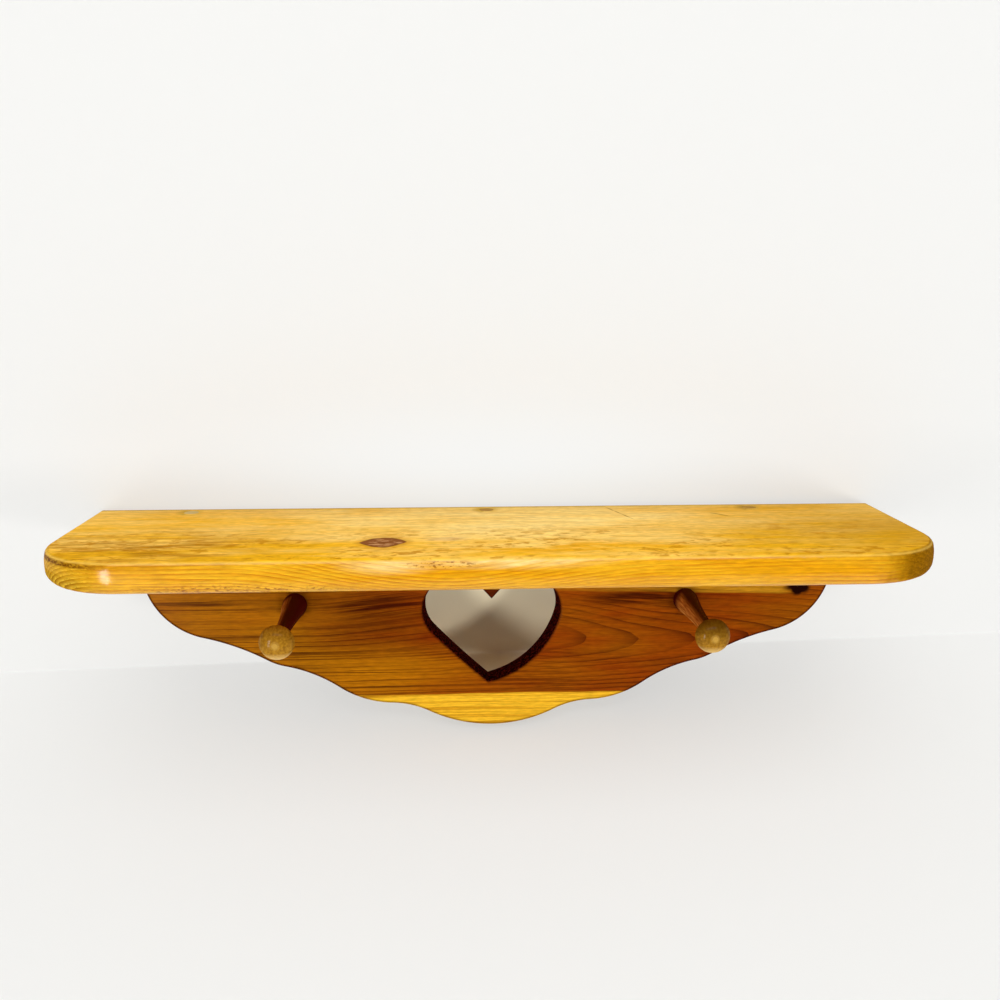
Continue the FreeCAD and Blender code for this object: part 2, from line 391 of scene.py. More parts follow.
def latewood(node, place, pith, skew, spacing, sharpness, unevenness=2.0):
    """Growth rings: distance from a pith line, skewed from X about Z, counted in uneven rings.
    Each ring darkens slowly to its outer edge, where the next one starts pale."""
    # Drawn together along the pith, so that only the way across it counts
    slim = (1000.0, 1.0, 1.0)
    section = node("Mapping", place, mm(*pith), (0.0, 0.0, skew), slim, vector_type="TEXTURE")
    radius = node("VectorMath", section, operation="LENGTH", out="Value")
    uneven = node("Math", streaks(node, place, (210, 14, 7), 1.0), unevenness, operation="MULTIPLY")
    turns = node("Math", radius, 1.0 / (spacing * MM), uneven, operation="MULTIPLY_ADD")
    return node("Math", node("Math", turns, operation="FRACT"), sharpness, operation="POWER")


def laid_over(node, colour, *layers):
    """A colour with others laid over it in turn, each as strong as its mask."""
    for mask, code in layers:
        colour = node("Mix", mask, colour, linear(code), data_type="RGBA")
    return colour


def gritty(node, place, colour, size, strength):
    """A colour made lighter and darker by specks of the given size in millimetres along each axis.
    They are coarser than the wood's real pores, which are too fine to show."""
    specks = node("MapRange", streaks(node, place, size, 2.0), 0.25, 0.75, 1.0 - strength, 1.0 + strength)
    return node("HueSaturation", 0.5, 1.0, specks, 1.0, colour)


def shelf_lines(node, place, on_top):
    """Late wood of the shelf board, and the bent places it is drawn on. Rings far from their pith give
    close lines on the front, which dip in the middle; on the top, where it has wear, they only show
    faintly."""
    dip = blot(node, place, (-28, -138, 36), (120, 90, 90), soft=1.0)
    bent = node("VectorMath", dip, mm(0, 0, 17), wander(node, place, (190, 70, 60), (0, 4, 9)),
                operation="MULTIPLY_ADD")
    rings_on = latewood(node, bent, (0, -100, -170), 0.0, 2.3, 2.2)
    patchy = node("MapRange", streaks(node, place, (70, 40, 7), 2.0), 0.35, 0.65, 0.25, 1.0)
    shown = node("MapRange", on_top, 0.0, 1.0, 1.0, 0.3)
    late = node("Math", node("Math", rings_on, patchy, operation="MULTIPLY"), shown, operation="MULTIPLY")
    return late, bent


def shelf_front(node, place, bent, late, fibre):
    """Bright wood of the shelf's front, pale in patches along the middle of its upper edge: partly wear,
    partly a painted highlight.
    """
    tone = node("MapRange", streaks(node, place, (90, 30, 14), 2.0), 0.35, 0.65, 0.0, 1.0)
    early = node("Mix", tone, linear("#de9e06"), linear("#e6b020"), data_type="RGBA")
    fibre_shade = node("MapRange", fibre, 0.42, 0.7, 0.0, 0.4)
    spot = blot(node, place, (-60, -137, 42.5), (36, 20, 6.5), soft=1.0)
    edge = blot(node, place, (5, -136, 44), (70, 14, 5.5), soft=0.8)
    grain = node("MapRange", streaks(node, bent, (45, 8, 2.2), 3.0, 0.6), 0.32, 0.6, 0.15, 0.75)
    # Pale patches by the upper edge: partly wear, partly a painted highlight
    lightened = node("Math", node("Math", spot, edge, operation="MAXIMUM"), grain, operation="MULTIPLY")
    return laid_over(node, early, (late, "#b86402"), (fibre_shade, "#b86c02"), (lightened, "#fadc90"))


def shelf_top_wear_and_sheen(node, place, y, late):
    """Tan wood of the shelf's top, pale in its middle and towards the wall, in streaks: partly wear,
    partly a painted sheen of the pale wall.
    """
    cloud = node("MapRange", streaks(node, place, (70, 18, 20), 3.0, 0.55), 0.3, 0.7, -0.24, 0.24)
    # Paler in the middle and towards the wall: a painted sheen of the pale wall over the streaks of wear
    middle = blot(node, place, (10, -55, shelf_top), (200, 110, 60), soft=1.0)
    wallward = node("MapRange", y, -128 * MM, -15 * MM, 0.05, 0.35)
    pale = node("Math", middle, 0.55, wallward, operation="MULTIPLY_ADD")
    lightened = node("Math", cloud, pale, operation="ADD", use_clamp=True)
    top_wear_and_sheen = node("Mix", lightened, linear("#f4b81c"), linear("#ffe698"), data_type="RGBA")
    lines = node("Math", late, 0.8, operation="MULTIPLY")
    thread = node("MapRange", streaks(node, place, (30, 3.0, 10), 4.0, 0.65), 0.42, 0.68, 0.0, 0.28)
    return laid_over(node, top_wear_and_sheen, (lines, "#b0700c"), (thread, "#c08408"))


def shelf_stains(node, place, colour):
    """Varnish gone dark on the shelf's top: brown smears on the left, ochre towards the right end, and
    golden smudges just behind the front edge."""
    smear = node("MapRange", streaks(node, place, (30, 7, 12), 4.0, 0.65), 0.34, 0.66, 0.0, 1.0)
    left_end = blot(node, place, (-195, -105, shelf_top), (125, 75, 9), soft=1.0)
    brown = node("Math", smear, left_end, operation="MULTIPLY")
    right_end = blot(node, place, (255, -80, shelf_top), (190, 110, 9), soft=1.0)
    ochre = node("Math", right_end, 0.72, operation="MULTIPLY")
    smudge = node("MapRange", streaks(node, place, (34, 7, 6), 3.0), 0.44, 0.54, 0.0, 0.75)
    near_front = blot(node, place, (35, -114, shelf_top), (100, 17, 9), soft=0.6)
    golden = node("Math", smudge, near_front, operation="MULTIPLY")
    return laid_over(node, colour, (brown, "#a46c0c"), (ochre, "#b68208"), (golden, "#e4a208"))


def shelf_flecks(node, place, y, on_top):
    """Mask of short flecks along the grain of the shelf's top, thick near its front edge."""
    grain = node("MapRange", streaks(node, place, (8, 5, 4), 3.0), 0.52, 0.62, 0.0, 1.0)
    cluster = node("MapRange", streaks(node, place, (60, 30, 30), 2.0), 0.36, 0.52, 0.0, 0.7)
    forward = node("MapRange", y, -50 * MM, -95 * MM, 0.15, 1.0)
    zone = node("Math", forward, on_top, operation="MULTIPLY")
    return node("Math", node("Math", grain, cluster, operation="MULTIPLY"), zone, operation="MULTIPLY")


def shelf_pits(node, place):
    """Mask of open pits in the shelf's front, along its lower edge at the left and under its upper edge
    near the middle."""
    grain = node("MapRange", streaks(node, place, (2.6, 1.2, 1.1), 2.0), 0.53, 0.62, 0.0, 0.8)
    low = blot(node, place, (-140, -136, 29.5), (85, 9, 5.0), soft=0.7)
    high = blot(node, place, (-32, -138, 43.0), (26, 9, 3.0), soft=0.6)
    return node("Math", grain, node("Math", low, high, operation="MAXIMUM"), operation="MULTIPLY")


def shelf_knot(node, place, colour, on_top):
    """A knot on the shelf's top: a pointed lens, x squared plus the size of y, of cracked brown wood in a
    darker halo, with a greyish rubbed patch beside it."""
    shifted = wander(node, place, (12, 12, 12), (4, 4, 0))
    middle, half_size = mm(-65.2, -98.0, shelf_top), mm(13.6, 12.5, 30.0)
    local = node("Mapping", shifted, middle, None, half_size, vector_type="TEXTURE")
    x, y, _ = node("SeparateXYZ", local).node.outputs
    lens = node("Math", x, x, node("Math", y, operation="ABSOLUTE"), operation="MULTIPLY_ADD")
    halo = node("MapRange", lens, 2.2, 0.9, 0.0, 0.5, interpolation_type="SMOOTHSTEP")
    colour = laid_over(node, colour, (node("Math", halo, on_top, operation="MULTIPLY"), "#c0801c"))
    cracks = node("MapRange", streaks(node, place, (6, 2.6, 5), 3.0), 0.5, 0.62, 0.0, 1.0)
    core = node("Mix", cracks, linear("#865028"), linear("#bd8a58"), data_type="RGBA")
    rim = node("MapRange", lens, 0.6, 0.95, 0.0, 0.7)
    within = node("MapRange", lens, 1.05, 0.9, 0.0, 1.0)
    knot = node("Math", within, on_top, operation="MULTIPLY")
    colour = node("Mix", knot, colour, laid_over(node, core, (rim, "#6e3c14")), data_type="RGBA")
    ragged = wander(node, place, (14, 9, 9), (9, 5, 0))
    dull = blot(node, ragged, (-30, -91, shelf_top), (18, 9, 3), soft=0.8)
    return laid_over(node, colour, (node("Math", dull, 0.5, operation="MULTIPLY"), "#d2ac78"))


def shelf_scratches_and_shadow(node, place, y):
    """Mask of two broken scratches across the shelf's top, and of a painted shadow along its back edge,
    where it meets the wall.
    """
    long = blot(node, place, (83, -25, shelf_top), (28, 0.9, 1.0), turn=math.radians(-72))
    short = blot(node, place, (146.5, -31.0, shelf_top), (10, 1.3, 1.0), turn=math.radians(-47))
    broken = node("MapRange", streaks(node, place, (9, 7, 9), 2.0), 0.38, 0.55, 0.3, 1.3)
    scratch = node("Math", node("Math", long, short, operation="MAXIMUM"), broken, operation="MULTIPLY")
    # Painted shadow along the back edge, where the top meets the wall
    back_edge_shadow = node("MapRange", y, -4.0 * MM, -1.0 * MM, 0.0, 1.0)
    return node("Math", node("Math", scratch, back_edge_shadow, operation="MAXIMUM"), 0.55, operation="MULTIPLY")


def shelf_corners(node, place, x, colour, ends):
    """End grain round the shelf's corners, ringed in pale arcs on the left, dark and mottled on the right;
    the arris is lightened as a painted highlight, with a torn dark line under it at the left."""
    pores = node("MapRange", streaks(node, place, (1.6, 2.4, 1.2), 3.0), 0.38, 0.62, 0.0, 0.6)
    leftness = node("MapRange", x, 60 * MM, -60 * MM, 0.0, 1.0)
    left_rings = latewood(node, place, (0, -146, 4), 0.0, 2.2, 0.7, unevenness=0.4)
    right_rings = latewood(node, place, (0, -190, -60), 0.0, 2.6, 2.0, unevenness=0.8)
    right_rings = node("Math", right_rings, 0.6, operation="MULTIPLY")
    end_rings = node("Math", pores, node("Mix", leftness, right_rings, left_rings), operation="MAXIMUM")
    light = node("Mix", leftness, linear("#986606"), linear("#f0c43c"), data_type="RGBA")
    dark = node("Mix", leftness, linear("#603a02"), linear("#865202"), data_type="RGBA")
    end_colour = node("Mix", end_rings, light, dark, data_type="RGBA")
    colour = node("Mix", ends, colour, end_colour, data_type="RGBA")
    arris = node("Attribute", attribute_name="arris", out="Fac")
    torn = node("Attribute", attribute_name="torn", out="Fac")
    ragged = node("MapRange", streaks(node, place, (2.5, 2.5, 1.2), 3.0), 0.4, 0.55, 0.35, 1.0)
    # A painted highlight on the arris, and the torn line under it
    return laid_over(node, colour, (node("Math", arris, 0.45, operation="MULTIPLY"), "#f4cc60"),
                     (node("Math", torn, ragged, operation="MULTIPLY"), "#6e3f02"))


def shelf_pine():
    """Flat-sawn yellow pine under amber varnish: a glossy bright front, a matt top with wear and a knot,
    patches of darkened varnish, flecks and scratches, and matt end grain round the corners. The top's
    paleness is partly a painted sheen of the wall, the arris has a painted highlight, and a painted shadow
    runs along the back edge. Fibres are drawn 0.9 mm wide, coarser than real ones, so that they show."""
    material, node, place = new_material("varnished_yellow_pine")
    x, y, z = node("SeparateXYZ", place).node.outputs
    on_top = node("MapRange", z, (shelf_top - 1.5) * MM, (shelf_top - 0.2) * MM, 0.0, 1.0)
    ends = node("Attribute", attribute_name="end_grain", out="Fac")
    fibre = streaks(node, place, (16, 0.9, 0.9), 4.0)
    late, bent = shelf_lines(node, place, on_top)
    flecks = shelf_flecks(node, place, y, on_top)
    pits = shelf_pits(node, place)

    front = shelf_front(node, place, bent, late, fibre)
    colour = node("Mix", on_top, front, shelf_top_wear_and_sheen(node, place, y, late), data_type="RGBA")
    colour = shelf_stains(node, place, colour)
    colour = laid_over(node, colour, (flecks, "#b87802"), (pits, "#8a4a04"))
    colour = shelf_knot(node, place, colour, on_top)
    # Scratches, and a painted shadow along the back edge
    colour = laid_over(node, colour, (shelf_scratches_and_shadow(node, place, y), "#8f5f14"))
    colour = shelf_corners(node, place, x, colour, ends)
    colour = gritty(node, place, colour, (7.0, 2.4, 0.9), 0.16)

    relief = node("Math", late, 0.6, fibre, operation="MULTIPLY_ADD")
    sunk = node("Math", pits, flecks, operation="MAXIMUM")
    relief = node("Math", sunk, -0.8, relief, operation="MULTIPLY_ADD")
    bump = node("Bump", 0.35, 0.2 * MM, None, relief)
    matt = node("Math", on_top, ends, operation="MAXIMUM")
    gloss = node("MapRange", matt, 0.0, 0.6, 0.65, 0.02)
    return wire(material, Base_Color=colour, Roughness=0.5, Specular_IOR_Level=0.0, Coat_Weight=gloss,
                Coat_Roughness=0.16, Normal=bump)


def board_lines(node, place, x):
    """Late wood of the backboard, and the lifted places it is drawn on: straight close lines, which fade
    to the right, and long flames there. The flames' pith is level with the face up to the heart and runs
    away behind it further right."""
    lift = blot(node, place, (0, -10, -14), (125, 300, 58), soft=1.0)
    lifted = node("VectorMath", lift, mm(0, 0, -9), wander(node, place, (170, 40, 40), (0, 2, 5)),
                  operation="MULTIPLY_ADD")
    _, lifted_y, lifted_z = node("SeparateXYZ", lifted).node.outputs
    rightward = node("Math", x, -15 * MM, operation="MAXIMUM")
    bent = node("CombineXYZ", rightward, lifted_y, lifted_z)
    flames = latewood(node, bent, (0, 2, -42), math.radians(3.6), 2.3, 3.4, unevenness=0.6)
    flame_zone = node("MapRange", x, -20 * MM, 70 * MM, 0.15, 1.0)
    flames = node("Math", flames, flame_zone, operation="MULTIPLY")
    close = latewood(node, lifted, (0, 2, -500), 0.0, 4.1, 5.0, unevenness=3.0)
    thin = node("MapRange", streaks(node, lifted, (260, 8, 1.5), 2.0, 0.6), 0.54, 0.6, 0.0, 0.75)
    straight_zone = node("MapRange", x, 10 * MM, 70 * MM, 1.0, 0.4)
    straight = node("Math", close, thin, operation="MAXIMUM")
    straight = node("Math", straight, straight_zone, operation="MULTIPLY")
    patchy = node("MapRange", streaks(node, place, (95, 30, 12), 2.0), 0.34, 0.66, 0.28, 1.0)
    late = node("Math", node("Math", flames, straight, operation="MAXIMUM"), patchy, operation="MULTIPLY")
    return late, lifted


def board_heartwood(node, place, x, late):
    """Brown wood of the backboard, redder to the right, with a dark patch of painted shade left of the
    heart, where the shelf's shadow falls, and a golden patch of painted light below that."""
    tone = node("MapRange", streaks(node, place, (120, 40, 24), 3.0), 0.35, 0.65, -0.3, 0.3)
    reddening = node("MapRange", x, -140 * MM, -40 * MM, 0.05, 0.8)
    redness = node("Math", reddening, tone, operation="ADD", use_clamp=True)
    early = node("Mix", redness, linear("#ac6a08"), linear("#903a04"), data_type="RGBA")
    # Painted shade of the shelf's shadow left of the heart, and painted light below it
    dark = blot(node, place, (-78, board_face, -26), (75, 40, 48), soft=1.0)
    golden = blot(node, place, (-75, board_face, -64), (85, 40, 30), soft=1.0)
    return laid_over(node, early, (node("Math", dark, 0.5, operation="MULTIPLY"), "#561c02"),
                     (node("Math", golden, 0.6, operation="MULTIPLY"), "#cc860a"), (late, "#360b02"))


def board_sapwood(node, place, x, z):
    """Mask of the backboard's sapwood: below a sharp straight line, and above a line that drops to the
    right. The upper band fades in right of the heart and out before the right end."""
    waver = node("Math", streaks(node, place, (60, 30, 30), 2.0), 2.4 * MM, z, operation="MULTIPLY_ADD")
    low = node("MapRange", waver, (sapwood_line - 0.6) * MM, (sapwood_line + 0.2) * MM, 1.0, 0.0)
    sloped = node("Math", x, 0.024, waver, operation="MULTIPLY_ADD")
    high = node("MapRange", sloped, -5.6 * MM, -4.4 * MM, 0.0, 0.5)
    for start, end, before, after in ((40, 125, 0.1, 1.0), (192, 204, 1.0, 0.0)):
        fade = node("MapRange", x, start * MM, end * MM, before, after)
        high = node("Math", high, fade, operation="MULTIPLY")
    return node("Math", low, high, operation="MAXIMUM")


def board_dark_marks(node, place, lifted):
    """Mask of dark marks: resinous streaks left of the heart, dark streaks by the right peg, and painted
    shade at the heart's cleft, under the shelf.
    """
    grain = node("MapRange", streaks(node, lifted, (60, 6, 2.4), 2.0), 0.44, 0.6, 0.0, 0.9)
    left = blot(node, place, (-72, board_face, -16), (48, 40, 13), soft=0.7)
    right = blot(node, place, (96, board_face, -13), (46, 40, 7), soft=0.7)
    # Painted shade at the heart's cleft, under the shelf
    cleft = blot(node, place, (0, board_face, -7), (11, 40, 9), soft=0.6)
    dark_marks = node("Math", grain, node("Math", left, right, operation="MAXIMUM"), operation="MULTIPLY")
    return node("Math", dark_marks, node("Math", cleft, 0.75, operation="MULTIPLY"), operation="MAXIMUM")


def backboard_pine():
    """Flat-sawn pine heartwood, red-brown under thin varnish, with dark lines and flames, pale sapwood
    along both edges, a small black knot at the right end, and speckled dark sawn edges without varnish.
    Painted shade darkens it left of the heart, at the heart's cleft and on the heart's sawn walls.
    Fibres are drawn 0.9 mm wide, coarser than real ones, so that they show."""
    material, node, place = new_material("varnished_red_pine")
    x, _, z = node("SeparateXYZ", place).node.outputs
    fibre = streaks(node, place, (34, 0.9, 0.9), 4.0)
    fibre_shade = node("MapRange", fibre, 0.42, 0.75, 0.0, 0.3)
    late, lifted = board_lines(node, place, x)
    heartwood = board_heartwood(node, place, x, late)
    sapwood = node("Mix", late, linear("#fac42e"), linear("#bc7a0a"), data_type="RGBA")
    colour = node("Mix", board_sapwood(node, place, x, z), heartwood, sapwood, data_type="RGBA")
    end_knot = blot(node, wander(node, place, (9, 9, 9), (7, 0, 7)), (205, board_face, -8), (10, 30, 4.5))
    # Dark marks include painted shade at the heart's cleft
    dark_marks = board_dark_marks(node, place, lifted)
    colour = laid_over(node, colour, (fibre_shade, "#5c2404"), (dark_marks, "#3c0d02"), (end_knot, "#1c0502"))
    colour = gritty(node, place, colour, (7.0, 1.2, 0.9), 0.2)
    sawn = node("Attribute", attribute_name="saw_edge", out="Fac")
    specks = node("MapRange", streaks(node, place, (1.6, 1.6, 1.6), 2.0), 0.5, 0.64, 0.0, 0.8)
    saw_colour = node("Mix", specks, linear("#1e0605"), linear("#6a1e14"), data_type="RGBA")
    colour = node("Mix", sawn, colour, saw_colour, data_type="RGBA")
    relief = node("Math", late, 0.6, fibre, operation="MULTIPLY_ADD")
    bump = node("Bump", 0.3, 0.2 * MM, None, relief)
    gloss = node("MapRange", sawn, 0.0, 0.3, 0.06, 0.0)
    return wire(material, Base_Color=colour, Roughness=0.6, Specular_IOR_Level=0.0, Coat_Weight=gloss,
                Coat_Roughness=0.25, Normal=bump)


def peg_birch():
    """Turned birch under varnish. The head is mottled olive-tan end grain, with painted shade above,
    deeper on the right peg, a painted reflection of the floor below and a painted highlight at its nub;
    purple-brown staining has run over the shank, thickest at the board, and one side of the shank is
    darker still as painted shade, leaving bare tan wood in places. Fibres run along the peg, drawn 1.1 mm
    wide, coarser than real ones, so that they show."""
    material, node, place = new_material("varnished_birch")
    x, y, z = node("SeparateXYZ", place).node.outputs
    fibre = streaks(node, place, (1.1, 26, 1.1), 4.0)
    mottle = node("MapRange", streaks(node, place, (1.5, 4.0, 1.5), 3.0), 0.35, 0.65, 0.0, 0.8)
    head = node("Mix", mottle, linear("#b48222"), linear("#80540c"), data_type="RGBA")
    # Painted shade on the head's upper side, deeper on the right peg
    raised = node("MapRange", z, -20 * MM, -8 * MM, 0.0, 0.6)
    painted_head_shade = node("Math", raised, node("MapRange", x, -129 * MM, 129 * MM, 0.4, 1.3), operation="MULTIPLY")
    # Painted reflection of the pale floor on the head's lower side
    lightened = node("MapRange", z, -19.5 * MM, -24.0 * MM, 0.0, 0.9)
    # Painted highlight on the nub
    nub = node("Attribute", attribute_name="nub", out="Fac")
    head = laid_over(node, head, (painted_head_shade, "#482c02"), (lightened, "#e2bc74"), (nub, "#c49a44"))
    shade = node("MapRange", fibre, 0.35, 0.65, 0.0, 1.0)
    bare = node("Mix", shade, linear("#c8823a"), linear("#8e4a16"), data_type="RGBA")
    # Staining, with painted shade on the shank's darker side
    stain_and_shade = node("Attribute", attribute_name="stain_and_shade", out="Fac")
    shank = laid_over(node, bare, (stain_and_shade, "#40070a"))
    headward = node("MapRange", y, -82 * MM, -92 * MM, 0.0, 1.0)
    colour = node("Mix", headward, shank, head, data_type="RGBA")
    bump = node("Bump", 0.2, 0.1 * MM, None, fibre)
    return wire(material, Base_Color=colour, Roughness=0.45, Specular_IOR_Level=0.0, Coat_Weight=0.16,
                Coat_Roughness=0.12, Normal=bump)


def plug_wood(name, light, dark):
    """Face-grain plug under the shelf's varnish, its fibres along the shelf and drawn 0.6 mm wide, coarser
    than real ones, so that they show."""
    material, node, place = new_material(name)
    fibre = streaks(node, place, (9, 0.6, 0.6), 3.0)
    shade = node("MapRange", fibre, 0.35, 0.7, 0.0, 1.0)
    colour = node("Mix", shade, linear(light), linear(dark), data_type="RGBA")
    return wire(material, Base_Color=colour, Roughness=0.5, Specular_IOR_Level=0.0, Coat_Weight=0.03,
                Coat_Roughness=0.2)


def zinc_plate(name, light, dark):
    """Zinc-plated pressed steel: a cold grey metal with faint clouds from plating and upright rolling
    lines, which are drawn 0.25 mm wide, coarser than real ones, so that they show."""
    material, node, place = new_material(name)
    cloud = node("MapRange", streaks(node, place, (5, 5, 9), 4.0), 0.3, 0.7, 0.0, 1.0)
    colour = node("Mix", cloud, linear(light), linear(dark), data_type="RGBA")
    bump = node("Bump", 0.15, 0.05 * MM, None, streaks(node, place, (0.25, 0.25, 12), 2.0))
    return wire(material, Base_Color=colour, Metallic=1.0, Roughness=0.38, Normal=bump)


def stage_paint():
    """Matt white paint, clear from behind. In the open it is mostly its own even glow, which the camera
    and mirrored rays see, so that the wood's colour hardly tints it. It glows more just above the shelf,
    a little less under it, and hardly at all behind the heart, where it keeps the shadow and its paint is
    warmer, as painted light bounced off the wood."""
    material, node, place = new_material("matt_white_paint")
    tree = material.node_tree
    sheltered = blot(node, place, (0, 42, -42), (95, 55, 76))
    under = blot(node, place, (40, -20, -95), (260, 130, 60), soft=1.0)
    shade = node("Math", sheltered, node("Math", under, 0.15, operation="MULTIPLY"), operation="MAXIMUM")
    above = blot(node, place, (0, -20, 80), (340, 90, 70), soft=1.0)
    glow = node("MapRange", shade, 0.0, 1.0, 0.64, 0.02)
    glow = node("Math", above, 0.32, glow, operation="MULTIPLY_ADD")
    rays = node("LightPath").node.outputs
    seen = node("Math", rays["Is Camera Ray"], rays["Is Glossy Ray"], operation="MAXIMUM")
    seen = node("Math", seen, rays["Is Transmission Ray"], operation="MAXIMUM")
    glow = node("Math", glow, seen, operation="MULTIPLY")
    # Warmer paint behind the heart: painted light bounced off the wood
    paint = node("Mix", sheltered, linear("#e2e2e0"), linear("#f8eac6"), data_type="RGBA")
    surface = node("MixShader", glow, node("BsdfDiffuse", paint), node("Emission", linear("#f7f7f5"), 1.0))
    behind = node("NewGeometry", out="Backfacing")
    surface = node("MixShader", behind, surface, node("BsdfTransparent"))
    tree.links.new(surface, tree.nodes["Material Output"].inputs["Surface"])
    return material


# Pieces

def shelf_outline():
    """Plan of the shelf board from its back left corner, counter-clockwise, with round front corners."""
    left, right = shelf_low[0], shelf_high[0]
    front, back = shelf_low[1], shelf_high[1]
    step = 1.6
    near_left = np.array([left + corner_radius, front + corner_radius])
    near_right = np.array([right - corner_radius, front + corner_radius])
    return loop(run([
        along((left, back), (left, near_left[1]), step),
        around(near_left, corner_radius, math.pi, 1.5 * math.pi, step),
        along((near_left[0], front), (near_right[0], front), step),
        around(near_right, corner_radius, -0.5 * math.pi, 0, step),
        along((right, near_right[1]), (right, back), step),
        along((right, back), (left, back), step),
    ]))


def shelf_edge():
    """Insets and depths of the shelf's edge: a small round, a flat and a larger round, all bellied by a
    parabola that is widest a little above the middle."""
    wall_end = shelf_thickness - underside_round
    lower_round = [(inset, shelf_thickness - depth) for inset, depth in round_steps(underside_round)]
    steps = [(top_round + guard_ring, 0.0)] + round_steps(top_round)
    steps += [(0.0, depth) for depth in np.linspace(top_round, wall_end, edge_rings + 2)[1:-1]]
    steps += lower_round[::-1] + [(underside_round + guard_ring, shelf_thickness)]
    widest = edge_belly_share * shelf_thickness
    return [(inset + edge_belly * (depth / widest - 1) ** 2, depth) for inset, depth in steps]


def shelf_wear(outline, depths):
    """How far wear has cut in, by depth and outline point: uneven along both rounds, none at the wall."""
    wall_end = shelf_thickness - underside_round
    upper = np.interp(depths, [0.0, 0.4, 2.0, 5.0], [0.0, top_wear, top_wear, 0.0])
    lower_span = [wall_end - 3.0, wall_end + 2.0, shelf_thickness - 0.5, shelf_thickness]
    lower = np.interp(depths, lower_span, [0.0, underside_wear, underside_wear, 0.0])
    travel = np.cumsum(np.linalg.norm(outline - np.roll(outline, 1, axis=0), axis=1))
    wear = (upper[:, None] * waves(travel, (61.0, 23.0, 9.0, 5.3))
            + lower[:, None] * waves(travel, (47.0, 19.0, 8.0, 4.7)))
    return wear * (np.abs(outline[:, 1] - shelf_high[1]) > 1e-6)


def mark_shelf_board(piece):
    """Marks for the shelf's material, by where its surface looks: end grain as it looks sideways, full on
    the right and fuller low down on the left; the arris where it looks half up, for a painted highlight;
    and on the left a torn line under the arris, which fades out round the corner."""
    torn_drop, torn_reach = 2.8, 0.8
    normals = vertex_normals(piece)
    across, up = normals[:, 0], normals[:, 2]
    below_top = shelf_top - vertex_places(piece)[:, 2]
    ends = np.clip((np.abs(across) - 0.04) / 0.4, 0, 1)
    left_share = 0.45 + 0.45 * np.clip((below_top - 8.0) / 4.0, 0, 1)
    mark(piece, "end_grain", np.where(across > 0, 1.0, left_share) * ends)
    # Painted highlight where the surface looks half up
    half_up = np.where(up > 0, 4 * up ** 2 * (1 - up ** 2), 0)
    mark(piece, "arris", half_up ** 6)
    torn_line = np.clip(2 - np.abs(below_top - torn_drop) / torn_reach, 0, 1)
    mark(piece, "torn", torn_line * np.clip(-across / 0.4, 0, 1))


def make_shelf_board(material):
    """Board whose worn edge profile runs along its outline, with holes for the plugs in its top."""
    outline = shelf_outline()
    steps = shelf_edge()
    grid = rings(outline, steps, square=shelf_high[1])
    wear = shelf_wear(outline, np.array(steps)[:, 1])
    grid[..., :2] -= outward(outline)[None] * wear[..., None]
    holes = [around(middle_mm(side + "_screw_plug")[:2], plug_hole_radius, 2 * math.pi, 0, 0.6)[:-1]
             for side in ("left", "middle", "right")]
    patches = [band(grid), cap([loop(grid[0, :, :2])] + holes, 0.0),
               turned_over(cap([loop(grid[-1, :, :2])], shelf_thickness))]
    for hole in holes:
        patches.append(band(rings(hole, [(0.0, 0.0), (0.0, plug_hole_depth)])))
        patches.append(cap([hole], plug_hole_depth))
    placed = [(points * (1, 1, -1) + (0, 0, shelf_top), faces) for points, faces in patches]
    mark_shelf_board(make_piece("shelf_board_wood", placed, material, "shelf_board"))


def scallop_half():
    """Right half of the backboard's lower edge, end to centre: lobes joined by coves that touch both."""
    half, bottom = board_high[0], board_low[2]
    under_peg = middle_mm("right_peg")[0]
    lobes = [
        (np.array([half - end_lobe_radius, underside - end_straight]), end_lobe_radius),
        (np.array([under_peg, bottom + peg_lobe_rise + peg_lobe_radius]), peg_lobe_radius),
        (np.array([under_peg / 2, bottom + middle_lobe_rise + middle_lobe_radius]), middle_lobe_radius),
        (np.array([0.0, bottom + centre_lobe_radius]), centre_lobe_radius),
    ]
    coves = (outer_cove_radius, middle_cove_radius, inner_cove_radius)
    step = 1.2
    parts, start = [], 0.0
    for (lobe, radius), (inner, inner_radius), cove in zip(lobes, lobes[1:], coves):
        hollow = apex(lobe, inner, radius + cove, inner_radius + cove, 1)
        parts.append(around(lobe, radius, start, bearing(hollow - lobe), step))
        parts.append(around(hollow, cove, bearing(lobe - hollow), bearing(inner - hollow), step))
        start = bearing(hollow - inner)
    centre, radius = lobes[-1]
    parts.append(around(centre, radius, start, -math.pi / 2, step))
    return run(parts)


def board_outline():
    """Backboard's outline, counter-clockwise from the room: along the scallop and back along the top."""
    half = board_high[0]
    end_step, top_step = 1.2, 1.5
    right = run([along((half, underside), (half, underside - end_straight), end_step), scallop_half()])
    top = along((half, underside), (-half, underside), top_step)
    return loop(run([right * (-1, 1), right[::-1], top]))


def heart_half(side_radius, tip_out):
    """Right half of the heart, cleft to tip: a straight edge, a lobe, and an arc that touches the lobe."""
    lobe = np.array([heart_lobe_out, underside - heart_drop])
    tip = np.array([tip_out, underside - heart_tip_drop])
    slope = math.pi / 2 - heart_cleft_half_angle
    top = slope + math.pi / 2
    touch = lobe + heart_lobe_radius * np.array([math.cos(top), math.sin(top)])
    cleft = touch - np.array([math.cos(slope), math.sin(slope)]) * touch[0] / math.cos(slope)
    side = apex(lobe, tip, side_radius - heart_lobe_radius, side_radius, -1)
    join = bearing(lobe - side)
    step = 0.9
    return run([
        along(cleft, touch, step),
        around(lobe, heart_lobe_radius, top, join, step),
        around(side, side_radius, join, bearing(tip - side), step),
    ])


